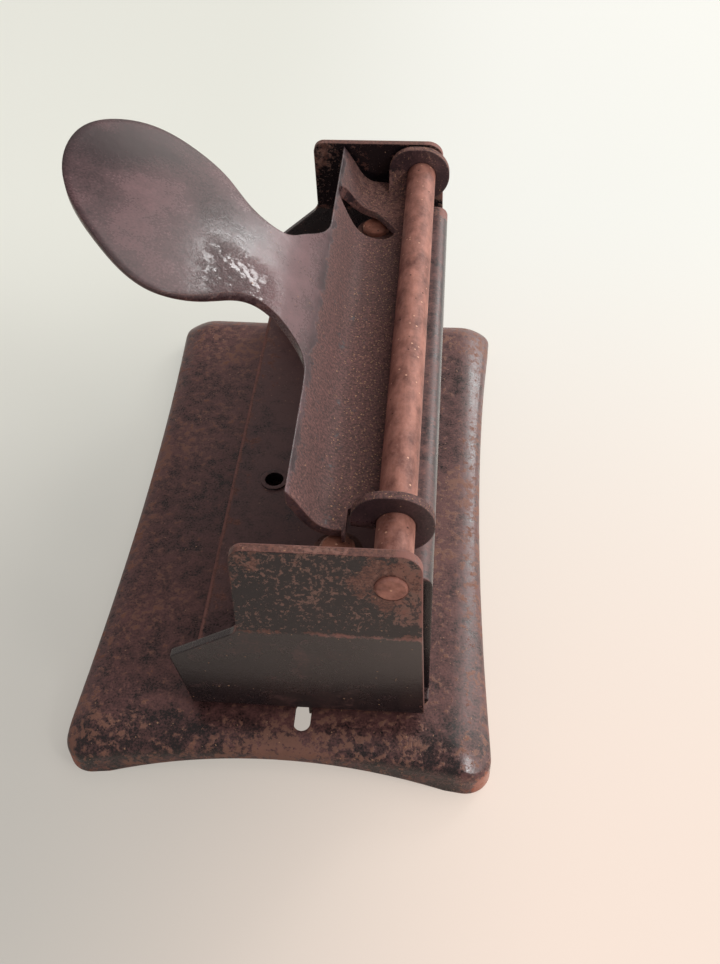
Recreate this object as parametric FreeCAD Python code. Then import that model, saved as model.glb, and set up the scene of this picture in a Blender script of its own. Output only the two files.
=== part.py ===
import FreeCAD, Part
import math
import os

V = FreeCAD.Vector

# Two-hole paper punch of pressed and folded sheet steel, in millimetres.
# X runs from the front, where the paper goes in, to the back wall. Y runs along the axle,
# Z up. The origin is on the table, under the middle of the base.

# Two holes at the usual spacing, which sets the length of everything that carries the pins
hole_spacing = 80.0
hole_centre_y = 0.2

# Frame: one folded sheet, its two end plates creased outward at half height
frame_centre_y = 2.0
frame_sheet = 1.3
paper_gap = 1.8
floor_front_x = -14.2
floor_end_margin = 9.3
plate_splay = 4.0
crease_height = 35.0
plate_lean = 6.2
plate_top = 50.0
bend_radius = 2.0
plate_front_x = -2.8
plate_shoulder_z = 34.6
plate_nose_x = -13.7
plate_nose_z = 26.0
plate_toe_x = -12.6
plate_back_top_x = 22.05
plate_back_low_x = 22.85
wall_inner_x = 22.1
ledge_top = 38.3
ledge_x = 19.5
ledge_corner_radius = 1.0
wall_near_setback = 4.0
wall_far_setback = 1.7
sight_hole_x = -6.5
sight_hole_radius = 1.7
sight_rim = 0.8

# Base: one pressed sheet that stands on its four corners
base_sheet = 1.0
base_half_width = 31.4
base_end_margin = 3.6
corner_flare = 2.4
corner_radius = 4.0
table_height = 7.6
table_half_width = 26.7
table_end_inset = 4.8
edge_roll = 1.8
side_arch = 1.6
end_arch = 3.9
arch_foot = 5.0
crown_falls = [(2.0, 0.15), (4.7, 1.3), (8.0, 3.6), (12.0, 7.0)]
slot_width = 2.6
slot_x = 4.0
slot_end_inset = 3.2
slot_length = 5.4

# Axle, riveted in the end plates
axle_x = 18.12
axle_z = 44.43
axle_radius = 2.68
spigot_radius = 2.2
rivet_end = 0.35

# Punch pins
pin_x = 10.0
pin_radius = 2.5
pin_chamfer = 0.4
pin_lift = 0.5
grind_radius = 6.0
grind_depth = 0.5
pin_fit = 0.06
die_fit = 0.08
collar_radius = 3.6
collar_thickness = 1.2
collar_drop = 1.2
lever_gap = 0.35

# Guides, springs and cutting strip
guide_radius = 4.1
guide_height = 8.0
guide_spigot_radius = 3.3
wire_diameter = 0.8
curl_radius = 3.2
curl_count = 8
strip_thickness = 2.0
strip_front_x = 4.6
strip_end = 5.0
stop_x = 17.3

# Rivets that hold frame, paper stop, base and cutting strip together
rivet_x = 19.4
rivet_radius = 1.3
rivet_head_radius = 1.9
rivet_head_height = 0.8
rivet_spread = 0.4

# Lever: one stamping with a spoon, a neck, a trough along the axle and two ears
lever_sheet = 1.4
lever_near_setback = 0.3
strip_end_setback = 0.9
lever_far_gap = 0.4
lever_front_x = 3.2
lever_back_x = 19.5
ear_radius = 5.35
ear_shoulder = 4.6
ear_bend = 4.2
ear_fit = 0.08
ear_root_x = 11.9
trough_z = 42.1
trough_back_z = 41.0
front_z = 49.6
spoon_near_y = -16.4
spoon_far_y = 21.9
spoon_tip_x = -33.2
spoon_rise = 25.2
spoon_crown = 1.6
edge_thinning = 0.8
neck_near_y = -7.7
neck_far_y = 11.1
window_x = 10.9
window_setback = 4.9
window_width = 5.8
window_tail_width = 8.2

# Places that follow from the sizes above
near_pin_y = hole_centre_y - hole_spacing / 2
far_pin_y = hole_centre_y + hole_spacing / 2
floor_half_length = hole_spacing / 2 + floor_end_margin
crease_half_length = floor_half_length + plate_splay
base_half_length = floor_half_length + base_end_margin
table_half_length = base_half_length - table_end_inset
slot_outer_y = slot_end_inset - base_half_length
lever_near_y = near_pin_y + lever_near_setback
floor_under = table_height + paper_gap
floor_top = floor_under + frame_sheet
base_under = table_height - base_sheet
strip_under = base_under - strip_thickness
wall_outer_x = wall_inner_x + frame_sheet
guide_top = floor_top + guide_height


# Drawing helpers
def at_xz(y):
    return lambda a, b: V(a, y, b)


def at_yz(x):
    return lambda a, b: V(x, a, b)


def at_xy(z):
    return lambda a, b: V(a, b, z)


# Closed outline through corners (a, b, radius), each corner rounded by its radius
def rounded_face(corners, place):
    edges = []
    ends = []
    count = len(corners)
    for i in range(count):
        a, b, radius = corners[i]
        before = V(*corners[i - 1][:2], 0) - V(a, b, 0)
        after = V(*corners[(i + 1) % count][:2], 0) - V(a, b, 0)
        before.normalize()
        after.normalize()
        half_angle = before.getAngle(after) / 2
        reach = radius / math.tan(half_angle)
        start = V(a, b, 0) + before * reach
        end = V(a, b, 0) + after * reach
        middle_way = before + after
        middle_way.normalize()
        middle = V(a, b, 0) + middle_way * (radius / math.sin(half_angle) - radius)
        ends.append((start, middle, end, radius))
    for i in range(count):
        start, middle, end, radius = ends[i]
        if radius > 0:
            arc = Part.Arc(place(start.x, start.y), place(middle.x, middle.y), place(end.x, end.y))
            edges.append(arc.toShape())
        following = ends[(i + 1) % count][0]
        edges.append(Part.makeLine(place(end.x, end.y), place(following.x, following.y)))
    return Part.Face(Part.Wire(edges))


def cylinder(radius, x, y, low, high):
    return Part.makeCylinder(radius, high - low, V(x, y, low))


def lying_cylinder(radius, x, z, near, far):
    return Part.makeCylinder(radius, far - near, V(x, near, z), V(0, 1, 0))


def box(x, y, z):
    return Part.makeBox(x[1] - x[0], y[1] - y[0], z[1] - z[0], V(x[0], y[0], z[0]))


# Solid under a smooth surface that a net of poles draws
def under_net(net, degree_along, degree_across, depth):
    def spaced(count, degree):
        spans = count - degree
        return list(range(spans + 1)), [degree + 1] + [1] * (spans - 1) + [degree + 1]
    knots_along, mults_along = spaced(len(net), degree_along)
    knots_across, mults_across = spaced(len(net[0]), degree_across)
    surface = Part.BSplineSurface()
    surface.buildFromPolesMultsKnots(
        net, mults_along, mults_across, knots_along, knots_across,
        False, False, degree_along, degree_across)
    solid = surface.toShape().extrude(V(0, 0, -depth))
    if solid.Volume < 0:
        solid.reverse()
    return solid


# Circle hull: a slot between two circles of unlike radius
def tapered_slot(first, first_radius, last, last_radius, low, high):
    line = V(*last, 0) - V(*first, 0)
    lean = math.acos((first_radius - last_radius) / line.Length)
    heading = math.atan2(line.y, line.x)
    corners = []
    for turn in (lean, -lean):
        side = V(math.cos(heading + turn), math.sin(heading + turn), 0)
        corners.append((V(*first, low) + side * first_radius, V(*last, low) + side * last_radius))
    (a, b), (d, c) = corners
    body = Part.Face(Part.makePolygon([a, b, c, d, a])).extrude(V(0, 0, high - low))
    discs = [cylinder(first_radius, *first, low, high), cylinder(last_radius, *last, low, high)]
    return body.fuse(discs).removeSplitter()


# Base
def crown_net(top):
    def steps(flat):
        half = [(flat + out, fall) for out, fall in reversed(crown_falls)]
        half += [(flat, 0.0), (flat - 3.0, 0.0)]
        return [(-a, fall) for a, fall in half] + [(0.0, 0.0)] + half[::-1]
    return [[V(x, y, top - fall_x - fall_y) for y, fall_y in steps(table_half_length)]
            for x, fall_x in steps(table_half_width)]


def base_block(inset):
    wide = base_half_width - inset
    long = base_half_length - inset
    out_x = wide + corner_flare
    out_y = long + corner_flare
    corners = [(-out_x, -out_y), (out_x, -out_y), (out_x, out_y), (-out_x, out_y)]
    middles = [(0, -long), (wide, 0), (0, long), (-wide, 0)]
    place = at_xy(-8.0)
    edges = []
    for i in range(4):
        arc = Part.Arc(place(*corners[i]), place(*middles[i]), place(*corners[(i + 1) % 4]))
        edges.append(arc.toShape())
    prism = Part.Face(Part.Wire(edges)).extrude(V(0, 0, 24))
    uprights = [e for e in prism.Edges if e.BoundBox.ZLength > 20]
    prism = prism.makeFillet(corner_radius - inset, uprights)
    crown = under_net(crown_net(table_height - inset), 3, 3, 40)
    block = prism.common(crown)
    top_face = max(block.Faces, key=lambda f: f.CenterOfMass.z)
    return block.makeFillet(edge_roll - inset, top_face.Edges)


def arch(chord, rise):
    return (chord ** 2 + rise ** 2) / (2 * rise)


def base_plate():
    shell = base_block(0).cut(base_block(base_sheet))
    reach = base_half_length + 30
    ground = box((-reach, reach), (-reach, reach), (-12, 0))
    end_radius = arch(base_half_width - arch_foot, end_arch)
    side_radius = arch(base_half_length - arch_foot, side_arch)
    end_cut = lying_cylinder(end_radius, 0, end_arch - end_radius, -reach, reach)
    side_cut = Part.makeCylinder(
        side_radius, 2 * reach, V(-reach, 0, side_arch - side_radius), V(1, 0, 0))
    slot_radius = slot_width / 2
    slot_near = slot_outer_y + slot_radius
    slot_far = slot_outer_y + slot_length - slot_radius
    slot = tapered_slot((slot_x, slot_near), slot_radius, (slot_x, slot_far), slot_radius,
                        0, table_height + 2)
    cuts = [ground, end_cut, side_cut, slot]
    cuts += pin_holes(pin_radius + die_fit, 0, table_height + 2)
    cuts += rivet_holes(0, table_height + 2)
    return shell.cut(cuts)


def pin_holes(radius, low, high):
    return [cylinder(radius, pin_x, y, low, high) for y in (near_pin_y, far_pin_y)]


def rivet_places():
    return [frame_centre_y + n * rivet_spread * hole_spacing for n in (-1, 0, 1)]


def rivet_holes(low, high):
    return [cylinder(rivet_radius, rivet_x, y, low, high) for y in rivet_places()]


def cutting_strip():
    strip = box((strip_front_x, wall_outer_x - bend_radius), (near_pin_y - strip_end, far_pin_y + strip_end),
                (strip_under, base_under))
    cuts = pin_holes(pin_radius + die_fit, strip_under - 1, base_under + 1)
    return strip.cut(cuts + rivet_holes(strip_under - 1, base_under + 1))


def paper_stop():
    half_length = floor_half_length - bend_radius
    stop = box((stop_x, wall_outer_x - bend_radius),
               (frame_centre_y - half_length, frame_centre_y + half_length),
               (table_height, floor_under))
    return stop.cut(rivet_holes(table_height - 1, floor_under + 1))


def frame_rivets():
    head_low = strip_under - rivet_head_height
    head_high = floor_top + rivet_head_height
    half = [V(0, 0, head_low), V(rivet_head_radius * 0.6, 0, head_low), V(rivet_head_radius, 0, strip_under),
            V(rivet_radius, 0, strip_under), V(rivet_radius, 0, floor_top),
            V(rivet_head_radius, 0, floor_top), V(rivet_head_radius * 0.6, 0, head_high),
            V(0, 0, head_high), V(0, 0, head_low)]
    rivet = Part.Face(Part.makePolygon(half)).revolve(V(0, 0, 0), V(0, 0, 1), 360)
    return Part.makeCompound([rivet.translated(V(rivet_x, y, 0)) for y in rivet_places()])


# Frame
def plate_outer(z):
    if z < crease_height:
        share = (z - floor_under) / (crease_height - floor_under)
        return floor_half_length + share * (crease_half_length - floor_half_length)
    return crease_half_length - (z - crease_height) * math.tan(math.radians(plate_lean))


# Folded band of floor and end plates, seen along X, as one closed outline
def folded_corners():
    low_lean = math.atan((crease_half_length - floor_half_length) / (crease_height - floor_under))
    top_lean = math.radians(plate_lean)
    t = frame_sheet
    inner_low = floor_half_length - t / math.cos(low_lean) + t * math.tan(low_lean)
    turn = (low_lean + top_lean) / 2
    inner_crease = crease_half_length - t / math.cos(turn)
    inner_crease_z = crease_height - t / math.cos(turn) * math.sin((low_lean - top_lean) / 2)
    high = plate_top + 2
    outer_top = plate_outer(high)
    side = [(floor_half_length, floor_under, bend_radius),
            (crease_half_length, crease_height, bend_radius),
            (outer_top, high, 0),
            (outer_top - t / math.cos(top_lean), high, 0),
            (inner_crease, inner_crease_z, bend_radius - t),
            (inner_low, floor_top, bend_radius - t)]
    far = [(frame_centre_y + a, z, r) for a, z, r in side]
    near = [(frame_centre_y - a, z, r) for a, z, r in reversed(side)]
    return far + near


def plate_outline():
    return [(plate_front_x, plate_top, 2.0),
            (plate_front_x, plate_shoulder_z, 3.0),
            (plate_nose_x, plate_nose_z, 0.6),
            (plate_toe_x, floor_under - 1, 0),
            (plate_back_low_x, floor_under - 1, 0),
            (plate_back_top_x, plate_top, 3.0)]


def folded_plates():
    reach = crease_half_length + 5
    band = rounded_face(folded_corners(), at_yz(floor_front_x - 5))
    band = band.extrude(V(wall_outer_x - floor_front_x + 10, 0, 0))
    outline = rounded_face(plate_outline(), at_xz(frame_centre_y - reach)).extrude(V(0, 2 * reach, 0))
    floor_end = floor_half_length - bend_radius
    floor_zone = box((floor_front_x, wall_outer_x - bend_radius),
                     (frame_centre_y - floor_end, frame_centre_y + floor_end),
                     (floor_under - 1, floor_top + 0.2))
    return band.common(outline).fuse(band.common(floor_zone)).removeSplitter()


# Back wall, folded up from the floor, its top folded inward as a ledge
def back_wall():
    near = frame_centre_y - floor_half_length + wall_near_setback
    far = frame_centre_y + floor_half_length - wall_far_setback
    inner_bend = bend_radius - frame_sheet
    outline = [(wall_inner_x - 6, floor_under, 0),
               (wall_outer_x, floor_under, bend_radius),
               (wall_outer_x, ledge_top, bend_radius),
               (ledge_x, ledge_top, 0),
               (ledge_x, ledge_top - frame_sheet, 0),
               (wall_inner_x, ledge_top - frame_sheet, inner_bend),
               (wall_inner_x, floor_top, inner_bend),
               (wall_inner_x - 6, floor_top, 0)]
    fold = rounded_face(outline, at_xz(near - 5)).extrude(V(0, far - near + 10, 0))
    plan = [(ledge_x, near, ledge_corner_radius), (wall_outer_x + 1, near, 0),
            (wall_outer_x + 1, far, 0), (ledge_x, far, ledge_corner_radius)]
    upright = rounded_face(plan, at_xy(floor_under + bend_radius)).extrude(V(0, 0, ledge_top))
    floor_end = floor_half_length - bend_radius
    low = box((wall_inner_x - 7, wall_outer_x + 1),
              (frame_centre_y - floor_end, frame_centre_y + floor_end),
              (floor_under - 1, floor_under + bend_radius))
    return fold.common(upright.fuse(low))


def punch_frame():
    frame = folded_plates().fuse(back_wall()).removeSplitter()
    sight = cylinder(sight_hole_radius + sight_rim, sight_hole_x, hole_centre_y, floor_top - 0.2,
                     floor_top + 0.4)
    reach = crease_half_length + 5
    cuts = [cylinder(sight_hole_radius, sight_hole_x, hole_centre_y, floor_under - 1, floor_top + 2),
            lying_cylinder(spigot_radius, axle_x, axle_z, frame_centre_y - reach, frame_centre_y + reach)]
    cuts += pin_holes(guide_spigot_radius, floor_under - 1, floor_top + 1)
    cuts += rivet_holes(floor_under - 1, floor_top + 1)
    return frame.fuse(sight).removeSplitter().cut(cuts)


def axle_rod():
    near = frame_centre_y - plate_outer(axle_z)
    far = frame_centre_y + plate_outer(axle_z)
    rod = lying_cylinder(axle_radius, axle_x, axle_z, near, far).cut(folded_plates())
    rod = max(rod.Solids, key=lambda s: s.Volume)
    spigot = lying_cylinder(spigot_radius, axle_x, axle_z, near - rivet_end, far + rivet_end)
    ends = [e for e in spigot.Edges if e.Closed]
    return rod.fuse(spigot.makeChamfer(rivet_end * 0.8, ends)).removeSplitter()


# Lever, drawn as a net of poles along its section from the back edge to the tip
def lever_section():
    return [(lever_back_x + 1.5, trough_back_z - 0.2),
            (lever_back_x - 2.0, trough_back_z + 0.2),
            (pin_x + 3.0, trough_z - 0.2),
            (pin_x, trough_z),
            (lever_front_x + 5.2, trough_z + 0.1),
            (lever_front_x + 3.4, trough_z + 1.4),
            (lever_front_x + 1.6, front_z - 2.3),
            (lever_front_x, front_z),
            (lever_front_x - 2.2, front_z + 3.0),
            (lever_front_x - 4.6, front_z + 6.2),
            (lever_front_x - 11.2, front_z + spoon_rise - 13.5),
            (lever_front_x - 18.0, front_z + spoon_rise - 8.4),
            (lever_front_x - 26.2, front_z + spoon_rise - 4.2),
            (spoon_tip_x + 1.5, front_z + spoon_rise - 0.9),
            (spoon_tip_x - 4.0, front_z + spoon_rise + 0.9)]


# The same section moved square to itself, to the underside of a sheet
def moved_section(section, distances):
    moved = []
    for i, (x, z) in enumerate(section):
        x0, z0 = section[max(i - 1, 0)]
        x1, z1 = section[min(i + 1, len(section) - 1)]
        length = math.hypot(x1 - x0, z1 - z0)
        moved.append((x + (z1 - z0) / length * distances[i], z - (x1 - x0) / length * distances[i]))
    return moved


def lever_under(section, crown, depth):
    crown_y = (spoon_near_y + spoon_far_y) / 2
    half_width = (spoon_far_y - spoon_near_y) / 2
    reach = 60.0
    net = []
    for x, z in section:
        share = min(max((lever_front_x - 3.0 - x) / 14.0, 0), 1)
        fall = crown * share * (reach / half_width) ** 2
        net.append([V(x, crown_y - reach, z - fall), V(x, crown_y, z + fall),
                    V(x, crown_y + reach, z - fall)])
    return under_net(net, 3, 2, depth)


def spoon_outline():
    middle = (neck_near_y + neck_far_y) / 2
    x = lever_front_x
    return [V(x, neck_near_y - 10.4, 0),
            V(x - 0.1, neck_near_y - 6.6, 0),
            V(x - 1.0, neck_near_y - 3.0, 0),
            V(x - 3.4, neck_near_y - 0.9, 0),
            V(x - 7.6, neck_near_y - 0.1, 0),
            V(x - 14.2, spoon_near_y + 2.9, 0),
            V(x - 20.8, spoon_near_y, 0),
            V(x - 28.0, spoon_near_y + 4.6, 0),
            V(spoon_tip_x + 2.2, middle - 4.8, 0),
            V(spoon_tip_x, middle + 7.0, 0),
            V(spoon_tip_x + 2.6, spoon_far_y - 4.0, 0),
            V(x - 28.0, spoon_far_y, 0),
            V(x - 20.0, spoon_far_y - 2.1, 0),
            V(x - 14.8, neck_far_y + 5.2, 0),
            V(x - 9.6, neck_far_y + 0.6, 0),
            V(x - 6.0, neck_far_y + 0.4, 0),
            V(x - 3.4, neck_far_y + 4.0, 0),
            V(x - 1.2, neck_far_y + 8.9, 0),
            V(x - 0.2, neck_far_y + 12.4, 0),
            V(x, neck_far_y + 16.0, 0)]


def spoon_curve():
    curve = Part.BSplineCurve()
    curve.interpolate(spoon_outline())
    return curve.toShape()


def lever_far_y():
    ear_high = axle_z + ear_radius
    inner = plate_outer(ear_high) - frame_sheet / math.cos(math.radians(plate_lean))
    return frame_centre_y + inner - lever_far_gap


def lever_outline():
    curve = spoon_curve()
    far_y = lever_far_y()
    slit_x = ear_root_x - 0.8
    turn = ear_bend + lever_sheet
    strip_end_y = lever_near_y + strip_end_setback
    ends = [V(lever_front_x, far_y, 0), V(ear_root_x, far_y, 0), V(ear_root_x, far_y - turn, 0),
            V(lever_back_x, far_y - turn, 0), V(lever_back_x, lever_near_y + turn, 0),
            V(ear_root_x, lever_near_y + turn, 0), V(slit_x, lever_near_y + turn - 0.8, 0),
            V(slit_x, lever_near_y, 0), V(pin_x + 0.6, lever_near_y, 0), V(pin_x + 0.6, strip_end_y, 0),
            V(lever_front_x, strip_end_y, 0)]
    corners = [curve.Vertexes[-1].Point] + ends + [curve.Vertexes[0].Point]
    edges = [curve]
    for a, b in zip(corners, corners[1:]):
        edges.append(Part.makeLine(a, b))
    return Part.Face(Part.Wire(edges)).extrude(V(0, 0, 100))


# Outline of an ear, seen along the axle: round behind the axle, square-shouldered before it
def ear_outline(near, far):
    high = axle_z + ear_radius
    shoulder = [(ear_root_x, trough_back_z - 4, 0), (ear_root_x, high, ear_shoulder),
                (axle_x, high, 0), (axle_x, trough_back_z - 4, 0)]
    front = rounded_face(shoulder, at_xz(near)).extrude(V(0, far - near, 0))
    return front.fuse(lying_cylinder(ear_radius, axle_x, axle_z, near, far))


# An ear turned up from the trough: face is the outer side, way the direction to the trough
def lever_ear(face, way):
    trough_under = trough_z - lever_sheet - 0.2
    end = face + way * (ear_bend + lever_sheet + 1.0)
    inner = face + way * lever_sheet
    turned = [(face, axle_z + 10, 0), (face, trough_under, ear_bend + lever_sheet),
              (end, trough_under, 0), (end, trough_under + lever_sheet, 0),
              (inner, trough_under + lever_sheet, ear_bend), (inner, axle_z + 10, 0)]
    run = lever_back_x - ear_root_x
    fold = rounded_face(turned, at_yz(ear_root_x)).extrude(V(run, 0, trough_back_z - trough_z + 0.15))
    near, far = sorted((face, end))
    plate_near, plate_far = sorted((face, inner))
    behind = box((lever_back_x, axle_x + ear_radius + 1), (plate_near, plate_far), (trough_back_z - 4, axle_z + 10))
    return fold.fuse(behind).common(ear_outline(near, far))


def lever():
    section = lever_section()
    under = moved_section(section, [-lever_sheet] * len(section))
    upper = lever_under(section, spoon_crown, 80)
    lower = lever_under(under, spoon_crown - edge_thinning, 90)
    sheet = upper.cut(lower).common(lever_outline())
    far_y = lever_far_y()
    window_y = far_pin_y - window_setback
    window = tapered_slot((window_x, window_y), window_width / 2,
                          (window_x - 3.3, window_y + 2.4), window_tail_width / 2, 20, 70)
    body = sheet.cut(window).fuse([lever_ear(lever_near_y, 1), lever_ear(far_y, -1)])
    bore = lying_cylinder(axle_radius + ear_fit, axle_x, axle_z, lever_near_y - 5, far_y + 5)
    return body.cut(bore)


# Top of the pins, under the lowest underside of the trough over them
def pin_top():
    section = moved_section(lever_section(), [-lever_sheet] * len(lever_section()))
    over = [z for x, z in section if abs(x - pin_x) <= pin_radius + 3.0]
    return min(over) - lever_gap


def punch_pin(y):
    top = pin_top()
    low = floor_under + pin_lift
    pin = cylinder(pin_radius, pin_x, y, low, top)
    rim = [e for e in pin.Edges if e.Closed and e.CenterOfMass.z > top - 0.01]
    pin = pin.makeChamfer(pin_chamfer, rim)
    grind = lying_cylinder(grind_radius, pin_x, low + grind_depth - grind_radius, y - 5, y + 5)
    return pin.cut(grind)


def pin_collar(y):
    top = pin_top() - collar_drop
    collar = cylinder(collar_radius, pin_x, y, top - collar_thickness, top)
    return collar.cut(cylinder(pin_radius, pin_x, y, 0, top + 1))


def guide_bush(y):
    bush = cylinder(guide_radius, pin_x, y, floor_top, guide_top)
    spigot = cylinder(guide_spigot_radius, pin_x, y, floor_under, floor_top)
    bush = bush.makeChamfer(0.5, [e for e in bush.Edges if e.Closed and e.CenterOfMass.z > guide_top - 0.01])
    return bush.fuse(spigot).cut(cylinder(pin_radius + pin_fit, pin_x, y, 0, guide_top + 1))


# Two arcs that join start to end with the given headings
def two_arcs(start, start_way, end, end_way):
    chord = end - start
    ways = start_way + end_way
    open_ = 2 * (1 - start_way.dot(end_way))
    across = chord.dot(ways)
    reach = (math.sqrt(across ** 2 + open_ * chord.dot(chord)) - across) / open_
    joint = (start + end + (start_way - end_way) * reach) * 0.5
    return [arc_from(start, start_way, joint), arc_from(end, end_way * -1, joint)[::-1]]


# Points of the arc that leaves start along way and ends at end
def arc_from(start, way, end):
    chord = end - start
    half = way.getAngle(chord)
    side = way - chord * (way.dot(chord) / chord.dot(chord))
    side.normalize()
    middle = (start + end) * 0.5 + side * (chord.Length / 2 * math.tan(half / 2))
    return [start, middle, end]


def return_spring(y):
    low = guide_top
    high = pin_top() - collar_drop - collar_thickness
    lead = wire_diameter
    bend = wire_diameter * 1.2
    climb = high - low - 2 * (lead + bend)
    quarter_count = 4 * curl_count
    rise = climb / quarter_count

    def on_curl(n):
        angle = math.pi / 2 * n
        return V(pin_x + curl_radius * math.cos(angle), y + curl_radius * math.sin(angle),
                 low + lead + bend + rise * n)

    def heading(n):
        angle = math.pi / 2 * n
        way = V(-math.sin(angle) * curl_radius * math.pi / 2, math.cos(angle) * curl_radius * math.pi / 2, rise)
        return way.normalize()
    foot = V(pin_x + curl_radius, y, low + lead)
    foot = foot - heading(0) * bend
    foot.z = low + lead
    head = on_curl(quarter_count) + heading(quarter_count) * bend
    head.z = high - lead
    up = V(0, 0, 1)
    arcs = two_arcs(foot, up, on_curl(0), heading(0))
    for n in range(quarter_count):
        arcs += two_arcs(on_curl(n), heading(n), on_curl(n + 1), heading(n + 1))
    arcs += two_arcs(on_curl(quarter_count), heading(quarter_count), head, up)
    edges = [Part.makeLine(foot - up * lead, foot)]
    edges += [Part.Arc(*points).toShape() for points in arcs]
    edges.append(Part.makeLine(head, head + up * lead))
    path = Part.Wire(edges)
    profile = Part.Wire(Part.makeCircle(wire_diameter / 2, foot - up * lead, up))
    print("spring at y", y, "least gap to itself", round(least_gap(path), 2))
    return path.makePipeShell([profile], True, False)


# Smallest distance between turns of the wire that lie apart along it
def least_gap(path):
    points = []
    for edge in path.Edges:
        points += edge.discretize(9)[:-1]
    best = 1000.0
    step = math.pi * curl_radius / 2
    lengths = [0.0]
    for a, b in zip(points, points[1:]):
        lengths.append(lengths[-1] + a.distanceToPoint(b))
    for i in range(0, len(points), 2):
        for j in range(i + 1, len(points)):
            if lengths[j] - lengths[i] > 2 * step:
                best = min(best, points[i].distanceToPoint(points[j]))
    return best - wire_diameter


nodes = {
    "base_plate": base_plate(),
    "cutting_strip": cutting_strip(),
    "paper_stop": paper_stop(),
    "punch_frame": punch_frame(),
    "frame_rivets": frame_rivets(),
    "axle_rod": axle_rod(),
    "lever": lever(),
    "near_guide_bush": guide_bush(near_pin_y),
    "far_guide_bush": guide_bush(far_pin_y),
    "near_punch_pin": punch_pin(near_pin_y),
    "far_punch_pin": punch_pin(far_pin_y),
    "near_pin_collar": pin_collar(near_pin_y),
    "far_pin_collar": pin_collar(far_pin_y),
    "near_return_spring": return_spring(near_pin_y),
    "far_return_spring": return_spring(far_pin_y),
}

os.makedirs("parts", exist_ok=True)
for name, shape in nodes.items():
    if shape.ShapeType == "Compound" and len(shape.Solids) == 1:
        shape = shape.Solids[0]
    box_of = shape.BoundBox
    print(name, shape.ShapeType, len(shape.Solids), "volume", round(shape.Volume, 1),
          "z", round(box_of.ZMin, 2), round(box_of.ZMax, 2), "valid", shape.isValid())
    shape.exportStep("parts/" + name + ".step")
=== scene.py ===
import bpy
import math
from mathutils import Matrix, Vector


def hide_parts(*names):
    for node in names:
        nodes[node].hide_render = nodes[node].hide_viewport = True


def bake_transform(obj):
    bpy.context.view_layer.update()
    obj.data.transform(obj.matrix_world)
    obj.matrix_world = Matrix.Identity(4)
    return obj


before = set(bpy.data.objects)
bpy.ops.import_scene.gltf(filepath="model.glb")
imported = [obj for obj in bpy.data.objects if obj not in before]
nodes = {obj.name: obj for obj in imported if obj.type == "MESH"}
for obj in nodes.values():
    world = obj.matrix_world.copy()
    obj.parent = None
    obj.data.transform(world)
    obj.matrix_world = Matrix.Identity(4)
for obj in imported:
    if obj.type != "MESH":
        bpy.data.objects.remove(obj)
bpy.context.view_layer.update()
print("stage: frame loaded,", len(nodes), "nodes")

mm = 0.001  # one millimetre in the scene's metres


def fromHex(text):
    channels = []
    for i in (0, 2, 4):
        value = int(text[i:i + 2], 16) / 255
        channels.append(value / 12.92 if value <= 0.04045 else ((value + 0.055) / 1.055) ** 2.4)
    return (*channels, 1.0)


# Camera: a phone held above the near end, looking down along the axle
camera = {
    "place": (23.56, -136.14, 153.79),  # mm
    "pitch": -0.805,  # radians, down from level
    "yaw": 0.104,
    "roll": -0.036,
    "lens": 40.33,  # mm, for a picture whose long side is 36 mm
    "longSide": 36,  # mm
    "clipStart": 10,  # mm
}


def makeCamera(settings):
    pitch, yaw, roll = settings["pitch"], settings["yaw"], settings["roll"]
    ahead = Matrix.Rotation(yaw, 3, "Z") @ Vector((0, math.cos(pitch), math.sin(pitch)))
    side = ahead.cross(Vector((0, 0, 1))).normalized()
    above = side.cross(ahead)
    right = side * math.cos(roll) + above * math.sin(roll)
    up = above * math.cos(roll) - side * math.sin(roll)
    data = bpy.data.cameras.new("deskCamera")
    data.lens = settings["lens"]
    data.sensor_width = settings["longSide"]
    data.clip_start = settings["clipStart"] * mm
    holder = bpy.data.objects.new("deskCamera", data)
    turn = Matrix((right, up, -ahead)).transposed().to_4x4()
    holder.matrix_world = Matrix.Translation(Vector(settings["place"]) * mm) @ turn
    bpy.context.scene.collection.objects.link(holder)
    bpy.context.scene.camera = holder


makeCamera(camera)
print("stage: camera made")


# One node with its settings and links: a socket is linked, any other value is set; i3 is input 3
def addNode(tree, kind, settings=None, **inputs):
    node = tree.nodes.new(kind)
    for name, value in (settings or {}).items():
        setattr(node, name, value)
    for name, value in inputs.items():
        numbered = name[0] == "i" and name[1:].isdigit()
        socket = node.inputs[int(name[1:])] if numbered else node.inputs[name]
        if isinstance(value, bpy.types.NodeSocket):
            tree.links.new(value, socket)
        else:
            socket.default_value = value
    return node


# Settings that many nodes share
softRamp = {"interpolation_type": "SMOOTHSTEP"}
ofColours = {"data_type": "RGBA"}
times = {"operation": "MULTIPLY"}
timesPlus = {"operation": "MULTIPLY_ADD"}


def newMaterial(name):
    material = bpy.data.materials.new(name)
    material.use_nodes = True
    material.node_tree.nodes.clear()
    return material, material.node_tree


def dress(node, material):
    mesh = nodes[node].data
    mesh.materials.clear()
    mesh.materials.append(material)


# Floor: the pale glass top of a table, painted cream towards the window and greyer away from it as painted
# light falloff
table = {
    "farLeft": "EAEDE4",
    "farRight": "F5F8F2",
    "nearLeft": "C4C2BB",
    "nearRight": "F7E7DA",
    "distance": "F4F3EE",
    "size": 6.0,  # m
    "fadeAcross": (-0.05, 0.05),  # m, along X
    "fadeAlong": (0.12, -0.08),  # m, along Y
    "fadeAway": (0.25, 0.9),  # m, from the origin
    "roughness": 0.3,
    "glow": 0.6,  # share of the table that the camera sees as a painted pale glow instead of lit, which weakens the object's shadow on it
}
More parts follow.
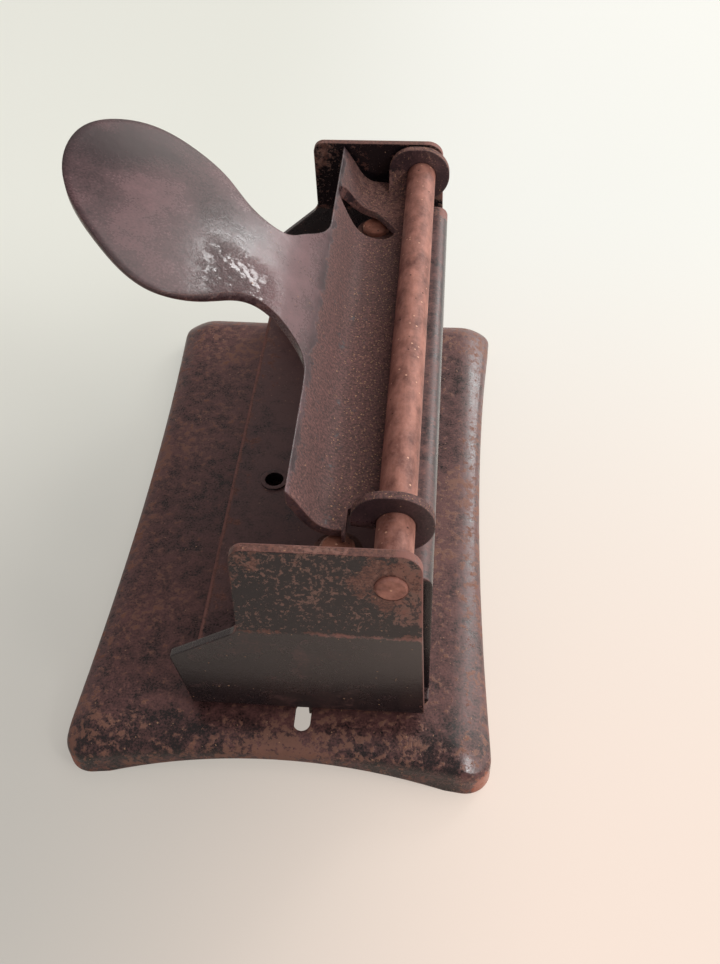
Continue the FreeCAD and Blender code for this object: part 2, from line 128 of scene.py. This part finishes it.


# Float glass laid on something pale. The eye sees a plain milky tone with a soft gloss; its drift from
# cream to grey is painted light from the window
def makeTable(settings):
    half = settings["size"] / 2
    mesh = bpy.data.meshes.new("tableTop")
    corners = [(-half, -half, 0), (half, -half, 0), (half, half, 0), (-half, half, 0)]
    mesh.from_pydata(corners, [], [(0, 1, 2, 3)])
    floor = bpy.data.objects.new("tableTop", mesh)
    bpy.context.scene.collection.objects.link(floor)
    material, tree = newMaterial("paleGlassTable")
    place = addNode(tree, "ShaderNodeTexCoord")
    parts = addNode(tree, "ShaderNodeSeparateXYZ", i0=place.outputs["Object"])
    reach = addNode(tree, "ShaderNodeVectorMath", {"operation": "LENGTH"}, i0=place.outputs["Object"])
    fades = []
    for source, name in ((parts.outputs["X"], "fadeAcross"), (parts.outputs["Y"], "fadeAlong"),
                         (reach.outputs["Value"], "fadeAway")):
        low, high = settings[name]
        fades.append(addNode(tree, "ShaderNodeMapRange", softRamp, i0=source, i1=low, i2=high).outputs[0])
    across, along, away = fades
    # The four corner colours paint the window's light falling off across the table
    far, near = [addNode(tree, "ShaderNodeMix", ofColours, i0=across, i6=fromHex(settings[left]),
                         i7=fromHex(settings[right])).outputs[2]
                 for left, right in (("farLeft", "farRight"), ("nearLeft", "nearRight"))]
    whole = addNode(tree, "ShaderNodeMix", ofColours, i0=along, i6=far, i7=near).outputs[2]
    whole = addNode(tree, "ShaderNodeMix", ofColours, i0=away, i6=whole,
                    i7=fromHex(settings["distance"])).outputs[2]
    shader = addNode(tree, "ShaderNodeBsdfPrincipled", Roughness=settings["roughness"])
    tree.links.new(whole, shader.inputs["Base Color"])
    path = addNode(tree, "ShaderNodeLightPath")
    # Camera rays see part of the table as a painted pale glow, which lightens the object's shadow on it
    glow = addNode(tree, "ShaderNodeMapRange", i0=away, i3=settings["glow"], i4=1.0)
    share = addNode(tree, "ShaderNodeMath", times, i0=path.outputs["Is Camera Ray"], i1=glow.outputs[0])
    pale = addNode(tree, "ShaderNodeEmission", i0=whole)
    both = addNode(tree, "ShaderNodeMixShader", i0=share.outputs[0], i1=shader.outputs[0],
                   i2=pale.outputs[0])
    addNode(tree, "ShaderNodeOutputMaterial", Surface=both.outputs[0])
    mesh.materials.append(material)


makeTable(table)


# Light: a room whose far right side is a wide pale window, with a smaller, dimmer one low beyond the
# far end, and two weak lamps for the small highlights
light = {
    "room": ("D2C2C0", 0.58),  # colour, strength
    "openings": [  # colour, strength, aim, cosines from the aim where it begins and where it is full
        ("FFF6F0", 2.1, (0.74, 0.27, 0.616), (0.66, 0.86)),
        ("FFF6F0", 1.3, (0.25, 0.95, 0.25), (0.93, 1.0)),
    ],
    "panels": [  # name, place mm, aim mm, size mm, watts
        ("softPanel", (425, 532, 335), (0, 0, 40), 180, 1.2),
        ("smallPane", (472, -308, 440), (0, 0, 20), 120, 0.9),
    ],
    "seen": "F4F3EE",  # what the camera sees past the table
}


def makePanels(panels):
    for name, place, aim, size, watts in panels:
        lamp = bpy.data.lights.new(name, "AREA")
        lamp.energy = watts
        lamp.size = size * mm
        holder = bpy.data.objects.new(name, lamp)
        holder.location = Vector(place) * mm
        way = (Vector(aim) - Vector(place)).normalized()
        holder.rotation_euler = way.to_track_quat("-Z", "Y").to_euler()
        bpy.context.scene.collection.objects.link(holder)


def lightOf(colour, strength):
    return [channel * strength for channel in fromHex(colour)[:3]] + [1]


def makeRoom(settings):
    world = bpy.data.worlds.new("roomWithWindow")
    world.use_nodes = True
    tree = world.node_tree
    tree.nodes.clear()
    way = addNode(tree, "ShaderNodeTexCoord")
    mixed = lightOf(*settings["room"])
    for colour, strength, aim, (low, high) in settings["openings"]:
        facing = addNode(tree, "ShaderNodeVectorMath", {"operation": "DOT_PRODUCT"},
                         i0=way.outputs["Generated"], i1=tuple(Vector(aim).normalized()))
        bright = addNode(tree, "ShaderNodeMapRange", softRamp, i0=facing.outputs["Value"], i1=low, i2=high)
        mixed = addNode(tree, "ShaderNodeMix", ofColours, i0=bright.outputs[0],
                        i6=mixed, i7=lightOf(colour, strength)).outputs[2]
    lit = addNode(tree, "ShaderNodeBackground", i0=mixed)
    seen = addNode(tree, "ShaderNodeBackground", i0=fromHex(settings["seen"]))
    path = addNode(tree, "ShaderNodeLightPath")
    both = addNode(tree, "ShaderNodeMixShader", i0=path.outputs["Is Camera Ray"],
                   i1=lit.outputs[0], i2=seen.outputs[0])
    addNode(tree, "ShaderNodeOutputWorld", Surface=both.outputs[0])
    bpy.context.scene.world = world


makePanels(light["panels"])
makeRoom(light)
bpy.context.scene.view_settings.view_transform = "Standard"
print("stage: table and lights made")


# A place on a piece, in millimetres of the object's own frame
def pointOn(tree):
    given = addNode(tree, "ShaderNodeTexCoord")
    return addNode(tree, "ShaderNodeVectorMath", {"operation": "SCALE"},
                   i0=given.outputs["Object"], Scale=1 / mm).outputs[0]


# What zones of wear are drawn from: the place along each axis and its distance from the middle,
# which way the surface faces, how level it is, and the distance from the axle
axle = {"x": 18.12, "z": 44.43}  # mm


def placesOn(tree):
    point = pointOn(tree)
    given = addNode(tree, "ShaderNodeTexCoord")
    parts = addNode(tree, "ShaderNodeSeparateXYZ", i0=point)
    facing = addNode(tree, "ShaderNodeSeparateXYZ", i0=given.outputs["Normal"])
    places = {"point": point}
    for axis in "XYZ":
        places[axis] = parts.outputs[axis]
        places["facing" + axis] = facing.outputs[axis]
    for name, source in (("wideX", "X"), ("wideY", "Y"), ("levelZ", "facingZ")):
        places[name] = addNode(tree, "ShaderNodeMath", {"operation": "ABSOLUTE"},
                               i0=places[source]).outputs[0]
    fromAxle = addNode(tree, "ShaderNodeVectorMath", {"operation": "SUBTRACT"},
                       i0=point, i1=(axle["x"], 0, axle["z"]))
    across = addNode(tree, "ShaderNodeVectorMath", times, i0=fromAxle.outputs[0], i1=(1, 0, 1))
    places["fromAxle"] = addNode(tree, "ShaderNodeVectorMath", {"operation": "LENGTH"},
                                 i0=across.outputs[0]).outputs["Value"]
    return places


# Sum of the zones that add to one kind of wear; each zone is a product of smooth ramps
def wearOf(tree, places, zones, kind, start):
    total = start
    for zone in zones:
        if kind not in zone:
            continue
        mask = 1.0
        for source, low, high in zone["ramps"]:
            ramp = addNode(tree, "ShaderNodeMapRange", softRamp, i0=places[source], i1=low, i2=high)
            mask = addNode(tree, "ShaderNodeMath", times, i0=mask, i1=ramp.outputs[0]).outputs[0]
        total = addNode(tree, "ShaderNodeMath", timesPlus, i0=mask, i1=zone[kind], i2=total).outputs[0]
    return total


# A start plus a share of each named field
def sumOf(tree, start, fields, shares):
    total = start
    for name, share in shares.items():
        total = addNode(tree, "ShaderNodeMath", timesPlus, i0=fields[name], i1=share, i2=total).outputs[0]
    return total


# A colour with others laid over it, each through its own mask
def layered(tree, colour, layers):
    for mask, over in layers:
        colour = addNode(tree, "ShaderNodeMix", ofColours, i0=mask, i6=colour, i7=over).outputs[2]
    return colour


# Black stove enamel on pressed steel, brushed on and baked, decades old. The eye sees a dark skin
# with a soft uneven gloss, a brown haze, ragged rust specks, rubbed edges and pale specks of dust
enamel = {
    "skin": "1B1718", "hazeColour": "5E3F3E", "rustDark": "452C29", "rustLight": "7C564C",
    "specksColour": "8C6A5E", "bareColour": "845C55", "dustColour": "AE8A6C",
    "edgeRound": 0.35, "edgeWidth": 0.35,  # mm
    "edgeTurn": (0.985, 0.86),  # cosine of the turn at which a place counts as an edge, from and to
    "scales": [("cloud", 16.0, 3.0, 0.5), ("blotch", 3.2, 6.0, 0.72),
               ("speck", 0.75, 4.0, 0.75), ("grain", 0.38, 3.0, 0.6)],  # size in mm, detail, roughness
    # Each kind of wear: its start, its shares of the fields of unevenness, and the ramp that cuts it
    "haze": 0.35, "hazeShares": {"cloud": 1.4, "blotch": 1.2, "grain": 1.6}, "hazeRamp": (0.0, 1.0),
    "rust": -0.08, "rustShares": {"edge": 0.12, "blotch": 1.0, "speck": 0.35}, "rustRamp": (0.12, 0.22),
    "specks": -0.05, "specksShares": {"speck": 1.0, "cloud": 0.5}, "specksRamp": (0.13, 0.21),
    "bare": -0.3, "bareShares": {"edge": 0.3, "speck": 0.9, "blotch": 0.5}, "bareRamp": (0.0, 0.28),
    "rustTone": (-0.22, 0.22),  # grain at which rust is darkest and lightest
    "covers": {"rust": 0.75, "specks": 0.65, "bare": 0.9, "dust": 0.75},  # how fully each hides the skin
    "dust": 0.02,  # share of the small cells that hold a grain
    "dustSize": 0.38, "swerveSize": 0.4, "swerve": 0.5,  # mm, cells and what pushes them out of line
    "dustWidth": (0.12, 0.36), "dustEdge": (-0.05, 0.08),  # shares of a cell
    "roughness": 0.24, "roughLimits": (0.12, 0.95),
    "roughShares": {"cloud": 0.15, "haze": 0.14, "rust": 0.25, "specks": 0.2, "bare": 0.1, "dust": 0.3},
    "lumpShares": {"speck": 0.4}, "lumpRamp": (-0.08, 0.24),  # blisters, only where a zone asks for them
    # Heights in mm: waves of the brush, orange peel, raised rust and specks, and grains of dust
    "heights": {"blotch": 0.05, "grain": 0.008, "rust": 0.02, "specks": 0.015, "dust": 0.03},
    "ior": 1.52,
}


def makeEnamel(name, look):
    material, tree = newMaterial(name)
    places = placesOn(tree)
    point = places["point"]
    zones = look["zones"]

    roundSum = wearOf(tree, places, zones, "edgeRound", look["edgeRound"])
    radius = addNode(tree, "ShaderNodeMath", times, i0=roundSum, i1=mm)
    rounded = addNode(tree, "ShaderNodeBevel", {"samples": 6}, Radius=radius.outputs[0])
    edged = addNode(tree, "ShaderNodeBevel", {"samples": 4}, Radius=look["edgeWidth"] * mm)
    flat = addNode(tree, "ShaderNodeNewGeometry")
    turn = addNode(tree, "ShaderNodeVectorMath", {"operation": "DOT_PRODUCT"},
                   i0=edged.outputs[0], i1=flat.outputs["Normal"])
    low, high = look["edgeTurn"]
    edge = addNode(tree, "ShaderNodeMapRange", softRamp, i0=turn.outputs["Value"], i1=low, i2=high)
    fields = {"edge": edge.outputs[0]}

    # Four scales of unevenness, each from -0.5 to 0.5
    for scale, size, detail, roughness in look["scales"]:
        noise = addNode(tree, "ShaderNodeTexNoise", i0=point, Scale=1 / size, Detail=detail,
                        Roughness=roughness)
        fields[scale] = addNode(tree, "ShaderNodeMath", {"operation": "SUBTRACT"},
                                i0=noise.outputs[0], i1=0.5).outputs[0]

    for kind in ("haze", "rust", "specks", "bare"):
        start = wearOf(tree, places, zones, kind, look[kind])
        total = sumOf(tree, start, fields, look[kind + "Shares"])
        low, high = look[kind + "Ramp"]
        fields[kind] = addNode(tree, "ShaderNodeMapRange", softRamp, i0=total, i1=low, i2=high).outputs[0]

    # Dust and chips: one small cell in several holds a pale grain
    push = addNode(tree, "ShaderNodeTexNoise", i0=point, Scale=1 / look["swerveSize"])
    swerve = addNode(tree, "ShaderNodeVectorMath", timesPlus, i0=push.outputs["Color"],
                     i1=(look["swerve"],) * 3, i2=point)
    motes = addNode(tree, "ShaderNodeTexVoronoi", i0=swerve.outputs[0], Scale=1 / look["dustSize"])
    chance = addNode(tree, "ShaderNodeSeparateColor", i0=motes.outputs["Color"])
    landed = addNode(tree, "ShaderNodeMath", {"operation": "LESS_THAN"}, i0=chance.outputs[1],
                     i1=wearOf(tree, places, zones, "dust", look["dust"]))
    low, high = look["dustWidth"]
    widest = addNode(tree, "ShaderNodeMapRange", i0=chance.outputs[0], i3=low, i4=high)
    mote = addNode(tree, "ShaderNodeMath", {"operation": "SUBTRACT"},
                   i0=widest.outputs[0], i1=motes.outputs["Distance"])
    low, high = look["dustEdge"]
    grain = addNode(tree, "ShaderNodeMapRange", softRamp, i0=mote.outputs[0], i1=low, i2=high)
    fields["dust"] = addNode(tree, "ShaderNodeMath", times, i0=grain.outputs[0],
                             i1=landed.outputs[0]).outputs[0]

    low, high = look["rustTone"]
    tone = addNode(tree, "ShaderNodeMapRange", softRamp, i0=fields["grain"], i1=low, i2=high)
    overs = {kind: fromHex(look[kind + "Colour"]) for kind in ("haze", "specks", "bare", "dust")}
    overs["rust"] = layered(tree, fromHex(look["rustDark"]),
                            [(tone.outputs[0], fromHex(look["rustLight"]))])
    layers = [(fields["haze"], overs["haze"])]
    for kind, cover in look["covers"].items():
        much = addNode(tree, "ShaderNodeMath", times, i0=fields[kind], i1=cover)
        layers.append((much.outputs[0], overs[kind]))
    colour = layered(tree, fromHex(look["skin"]), layers)

    start = wearOf(tree, places, zones, "rough", look["roughness"])
    low, high = look["roughLimits"]
    rough = addNode(tree, "ShaderNodeClamp", i0=sumOf(tree, start, fields, look["roughShares"]),
                    i1=low, i2=high)

    low, high = look["lumpRamp"]
    lumps = addNode(tree, "ShaderNodeMapRange", softRamp, i1=low, i2=high,
                    i0=sumOf(tree, fields["blotch"], fields, look["lumpShares"]))
    lumpy = addNode(tree, "ShaderNodeMath", times, i0=lumps.outputs[0],
                    i1=wearOf(tree, places, zones, "lumps", 0.0))
    bump = addNode(tree, "ShaderNodeBump", Strength=1.0, Distance=mm, Normal=rounded.outputs[0],
                   Height=sumOf(tree, lumpy.outputs[0], fields, look["heights"]))
    shader = addNode(tree, "ShaderNodeBsdfPrincipled", Roughness=rough.outputs[0],
                     Normal=bump.outputs[0], IOR=look["ior"])
    tree.links.new(colour, shader.inputs["Base Color"])
    addNode(tree, "ShaderNodeOutputMaterial", Surface=shader.outputs[0])
    return material


basePlate = dict(
    enamel, hazeColour="684745", specksColour="85604F", bareColour="9C5C48",
    haze=0.62, specks=0.055, rust=0.0, roughness=0.26,
    hazeShares={"cloud": 1.4, "blotch": 2.0, "grain": 1.6},
    rustShares={"edge": 0.05, "blotch": 1.0, "speck": 0.35},
    scales=[("cloud", 16.0, 3.0, 0.5), ("blotch", 2.6, 6.0, 0.72),
            ("speck", 1.3, 4.0, 0.7), ("grain", 0.38, 3.0, 0.6)],
    zones=[
        # Where the top rolls down, the side under the spoon, and the rim on the table
        {"ramps": [("facingZ", 0.995, 0.93)], "specks": 0.03, "rust": 0.03},
        {"ramps": [("X", -16.0, -24.0)], "specks": 0.03},
        {"ramps": [("Z", 2.4, 0.4)], "rust": 0.1, "bare": 0.14},
        # The near end, the tips of the four feet, and the near right corner, painted paler there as a
        # highlight, with a little bare metal and a smoother gloss
        {"ramps": [("Y", -46, -50)], "haze": -0.2, "specks": 0.03, "rust": -0.03, "dust": 0.04},
        {"ramps": [("wideX", 30.0, 32.0), ("wideY", 51.0, 53.0), ("Z", 4.5, 2.0)], "bare": 0.8},
        {"ramps": [("X", 27.0, 30.0), ("Y", -49.0, -52.0)], "haze": 0.3, "bare": 0.1, "rough": -0.14},
    ])

punchFrame = dict(
    enamel, skin="1B161A", hazeColour="5E4443", rustLight="84584A",
    haze=-0.1, rust=-0.2, specks=-0.16, roughness=0.26,
    hazeShares={"cloud": 1.4, "blotch": 2.4, "grain": 1.6},
    zones=[
        # End plates above the crease, worse towards the top, at the spoon's side and round the rod
        {"ramps": [("Z", 34.4, 36.2), ("wideY", 45, 48)], "haze": -0.3, "specks": 0.2, "rust": 0.2},
        {"ramps": [("Z", 41, 47), ("wideY", 45, 48)], "rust": 0.06},
        {"ramps": [("Z", 43, 46), ("X", 3, -1), ("wideY", 45, 48)], "rust": 0.12, "specks": 0.06},
        {"ramps": [("fromAxle", 7.0, 3.0), ("wideY", 45, 48)], "rust": 0.2},
        # The crease itself, and the end plates' rear edges
        {"ramps": [("Z", 33.6, 34.8), ("Z", 36.2, 35.0), ("wideY", 45, 48)], "rust": 0.3, "bare": 0.1},
        {"ramps": [("Z", 33.8, 34.8), ("Z", 36.0, 35.0), ("X", 2, 10), ("wideY", 45, 48)], "bare": 0.35},
        {"ramps": [("facingX", 0.5, 0.9), ("wideY", 45, 48)], "bare": 0.3, "rust": 0.2},
        {"ramps": [("X", 21.4, 22.4), ("wideY", 45, 48)], "bare": 0.3, "specks": 0.1},
        # The floor's front edge, the floor, and the strip along its front
        {"ramps": [("X", -13.4, -13.9), ("Z", 12.5, 11.2)], "bare": 0.5, "rust": 0.3},
        {"ramps": [("Z", 12.0, 11.0), ("facingZ", 0.9, 0.98)], "haze": 0.95, "specks": 0.12, "rust": 0.16},
        {"ramps": [("X", -8, -12), ("Z", 12.0, 11.0)], "rust": 0.14, "specks": 0.05},
        # The end plates' top and front edges, and the ledge of the back wall, painted paler there as the
        # window's sheen on it, with bare metal and specks
        {"ramps": [("facingZ", 0.7, 0.9), ("Z", 47, 49)], "bare": 0.3, "rust": 0.35},
        {"ramps": [("facingX", -0.6, -0.9), ("Z", 12.5, 14)], "bare": 0.3, "rust": 0.3},
        {"ramps": [("X", 18, 19), ("Z", 37, 38)], "haze": 0.8, "bare": 0.32, "specks": 0.14, "rough": 0.12},
    ])

leverStamping = dict(
    enamel, skin="302629", hazeColour="74565A", rustDark="352220", rustLight="744F4A",
    specksColour="84625A", haze=0.42, rust=-0.2, specks=-0.19, roughness=0.2,
    hazeShares={"cloud": 1.4, "blotch": 0.5, "grain": 0.7},
    zones=[
        # The spoon, its far tip, and the slope between spoon and trough, painted a little paler there as
        # sheen
        {"ramps": [("X", -3.0, -8.0)], "edgeRound": 1.3, "haze": -0.1, "dust": -0.02},
        {"ramps": [("X", -24.0, -29.0), ("Y", 0.0, 6.0)], "specks": 0.1, "rust": 0.1},
        {"ramps": [("fromAxle", 17.0, 19.0), ("X", -3.0, 2.0)], "haze": 0.1},
        # The trough, the dust that lies in it, and its far end
        {"ramps": [("fromAxle", 17.0, 14.0), ("facingZ", -0.2, 0.3)], "haze": -0.2, "specks": 0.2,
         "rust": 0.5, "rough": 0.3},
        {"ramps": [("fromAxle", 13.0, 5.0), ("facingZ", -0.2, 0.3)], "dust": 0.9, "rust": 0.05},
        {"ramps": [("Y", 36.0, 42.0), ("fromAxle", 16.0, 10.0)], "specks": 0.2, "dust": 0.2},
        # The cut edges, and the neck, where the enamel has blistered
        {"ramps": [("levelZ", 0.3, 0.1), ("fromAxle", 7.0, 9.0)], "bare": 0.3, "rust": 0.2},
        {"ramps": [("X", -14.0, -9.0), ("X", 0.0, -4.0), ("Y", 3.0, -4.0)], "lumps": 0.2, "rough": -0.06},
    ])

dress("base_plate", makeEnamel("stoveEnamelBase", basePlate))
dress("punch_frame", makeEnamel("stoveEnamelFrame", punchFrame))
dress("lever", makeEnamel("stoveEnamelLever", leverStamping))
print("stage: enamelled pieces dressed")


# Bare mild steel, turned or sheared, rusted all over and rubbed by use. The eye sees a dull pinkish
# brown crust, darker pits, and smoother paler metal where hands and moving pieces rub it
rustedSteel = {
    "dark": "643C35", "light": "A67268", "metal": "B08A82", "pitColour": "4A2E28", "fleckColour": "C89C84",
    "stretch": (1, 1, 1), "crustSize": 2.2, "grainSize": 0.6, "pitSize": 0.55, "edgeRound": 0.25,  # mm
    "tone": (0.32, 0.68),  # crust at which it is darkest and lightest
    "pits": 0.12, "flecks": 0.04,  # shares of the cells that hold a pit or a pale fleck
    "pitEdge": (0.4, 0.2),  # share of a cell, from and to
    "rubbed": 0.2, "rubbedRamp": (0.5, 0.66),  # how bright the rubbed grain is, and which grain is rubbed
    "metallic": 0.1, "rubbedMetallic": 0.8,
    "roughness": 0.5, "roughShares": {"crust": 0.25, "pits": 0.2},
    "relief": 0.05, "grainRelief": 0.35, "pitDepth": 0.04,  # mm of the crust, share of that, mm
}


def makeRustedSteel(name, look):
    material, tree = newMaterial(name)
    point = pointOn(tree)
    stretched = addNode(tree, "ShaderNodeVectorMath", times, i0=point, i1=look["stretch"])
    crust = addNode(tree, "ShaderNodeTexNoise", i0=stretched.outputs[0], Scale=1 / look["crustSize"],
                    Detail=6.0, Roughness=0.65)
    grain = addNode(tree, "ShaderNodeTexNoise", i0=point, Scale=1 / look["grainSize"], Detail=3.0)
    cells = addNode(tree, "ShaderNodeTexVoronoi", i0=point, Scale=1 / look["pitSize"])
    chance = addNode(tree, "ShaderNodeSeparateColor", i0=cells.outputs["Color"])
    low, high = look["pitEdge"]
    middle = addNode(tree, "ShaderNodeMapRange", softRamp, i0=cells.outputs["Distance"], i1=low, i2=high)
    fields = {"crust": crust.outputs[0], "grain": grain.outputs[0]}
    for kind, test, limit in (("pits", "LESS_THAN", look["pits"]),
                              ("flecks", "GREATER_THAN", 1 - look["flecks"])):
        chosen = addNode(tree, "ShaderNodeMath", {"operation": test}, i0=chance.outputs[0], i1=limit)
        fields[kind] = addNode(tree, "ShaderNodeMath", times, i0=middle.outputs[0],
                               i1=chosen.outputs[0]).outputs[0]

    low, high = look["tone"]
    tone = addNode(tree, "ShaderNodeMapRange", i0=fields["crust"], i1=low, i2=high)
    low, high = look["rubbedRamp"]
    rubbed = addNode(tree, "ShaderNodeMapRange", softRamp, i0=fields["grain"], i1=low, i2=high,
                     i4=look["rubbed"])
    fields["rubbed"] = rubbed.outputs[0]
    colour = layered(tree, fromHex(look["dark"]), [
        (tone.outputs[0], fromHex(look["light"])), (fields["rubbed"], fromHex(look["metal"])),
        (fields["pits"], fromHex(look["pitColour"])), (fields["flecks"], fromHex(look["fleckColour"]))])
    metallic = sumOf(tree, look["metallic"], fields, {"rubbed": look["rubbedMetallic"]})
    rough = sumOf(tree, look["roughness"], fields, look["roughShares"])
    height = sumOf(tree, 0.0, fields, {
        "crust": look["relief"], "grain": look["relief"] * look["grainRelief"], "pits": -look["pitDepth"]})
    rounded = addNode(tree, "ShaderNodeBevel", {"samples": 6}, Radius=look["edgeRound"] * mm)
    bump = addNode(tree, "ShaderNodeBump", Strength=1.0, Distance=mm, Height=height,
                   Normal=rounded.outputs[0])
    shader = addNode(tree, "ShaderNodeBsdfPrincipled", Roughness=rough, Metallic=metallic,
                     Normal=bump.outputs[0])
    tree.links.new(colour, shader.inputs["Base Color"])
    addNode(tree, "ShaderNodeOutputMaterial", Surface=shader.outputs[0])
    return material


axleRod = dict(rustedSteel, stretch=(1, 0.5, 1), dark="5C332A", light="AA7769", crustSize=2.4, pits=0.02)
pinSteel = dict(rustedSteel, dark="643A2C", light="946250", metal="A88070", rubbed=0.15)
# Pieces under the lever and the floor: the same crust, painted darker as the shade they sit in, and rubbed
# less
shadeDarkenedSteel = dict(rustedSteel, dark="3E2B27", light="6E5048", rubbed=0.15, flecks=0.02)
# Drawn wire: a thin grey-brown film, so that the metal shows through on much of it
springSteel = dict(rustedSteel, dark="3A3432", light="6A605A", metal="8E8680", rubbed=0.5, metallic=0.5,
                   roughness=0.35, relief=0.02)
# Ground tool steel: flat and greyer, with its film drawn out along the grinding
groundSteel = dict(rustedSteel, dark="4E4540", light="867A72", metal="A8A09A", stretch=(0.2, 3, 3),
                   crustSize=1.6, rubbed=0.6, metallic=0.5, roughness=0.35, relief=0.01)

steelPieces = {  # material: its look, and the pieces that wear it
    "rustedAxleSteel": (axleRod, ["axle_rod"]),
    "rustedPinSteel": (pinSteel, ["near_punch_pin", "far_punch_pin"]),
    # Collars, bushes, rivets and the paper stop wear the darker steel as painted shade
    "shadeDarkenedCollarSteel": (shadeDarkenedSteel, ["near_pin_collar", "far_pin_collar", "near_guide_bush",
                                        "far_guide_bush", "frame_rivets", "paper_stop"]),
    "drawnSpringWire": (springSteel, ["near_return_spring", "far_return_spring"]),
    "groundToolSteel": (groundSteel, ["cutting_strip"]),
}

for name, (look, pieces) in steelPieces.items():
    material = makeRustedSteel(name, look)
    for piece in pieces:
        dress(piece, material)
print("stage: steel pieces dressed")


# Return springs: copies of the imported ones, which take their place as they are
springs = {
    "bodies": {"near_return_spring": "near_pin", "far_return_spring": "far_pin"},
    "foot": 19.5,  # mm, the height from which a spring gives
    "head": 37.0,  # mm, the height from which it follows its collar
}


def makeSprings(settings):
    for node, body in settings["bodies"].items():
        packed = nodes[node]
        piece = bpy.data.objects.new(node + "_wire", packed.data.copy())
        bpy.context.scene.collection.objects.link(piece)
        piece.matrix_world = packed.matrix_world.copy()
        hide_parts(node)
        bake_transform(piece)


makeSprings(springs)
print("stage: springs made")
